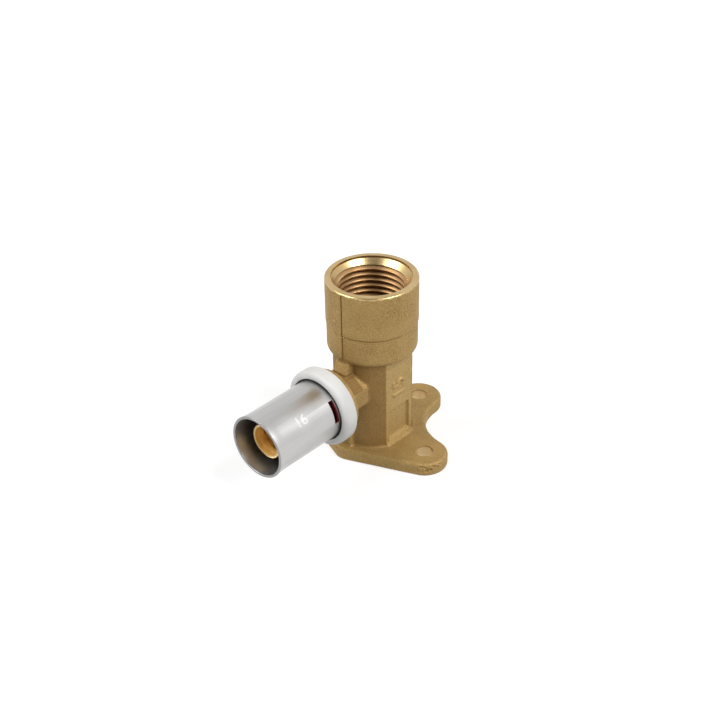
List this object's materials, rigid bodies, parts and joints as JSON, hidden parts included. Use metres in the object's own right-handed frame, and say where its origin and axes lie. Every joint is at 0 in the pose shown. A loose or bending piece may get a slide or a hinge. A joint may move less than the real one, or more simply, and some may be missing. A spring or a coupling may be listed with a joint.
{
  "type": "wall plate elbow",
  "caption": "Brass elbow on a lugged wall plate, with an upright female-threaded socket and a side pipe tail in a steel press sleeve held by a white plastic ring.",
  "frame": {"origin": "on the socket's axis at the wall face of the plate", "axes": "+Z out of the wall along the socket, the pipe tail towards -Y, the two side lugs along X"},
  "size_m": [0.0538, 0.0756, 0.0557],
  "materials": {
    "brass": "sand-blasted forging, turned bright in the socket and on the tail",
    "steel": "satin stainless tube",
    "ring_plastic": "white moulded plastic",
    "seal_rubber": "black rubber"
  },
  "bodies": {
    "root": {"brass_body": "brass", "press_sleeve": "steel", "retaining_ring": "ring_plastic", "front_o_ring": "seal_rubber", "rear_o_ring": "seal_rubber"}
  },
  "joints": []
}
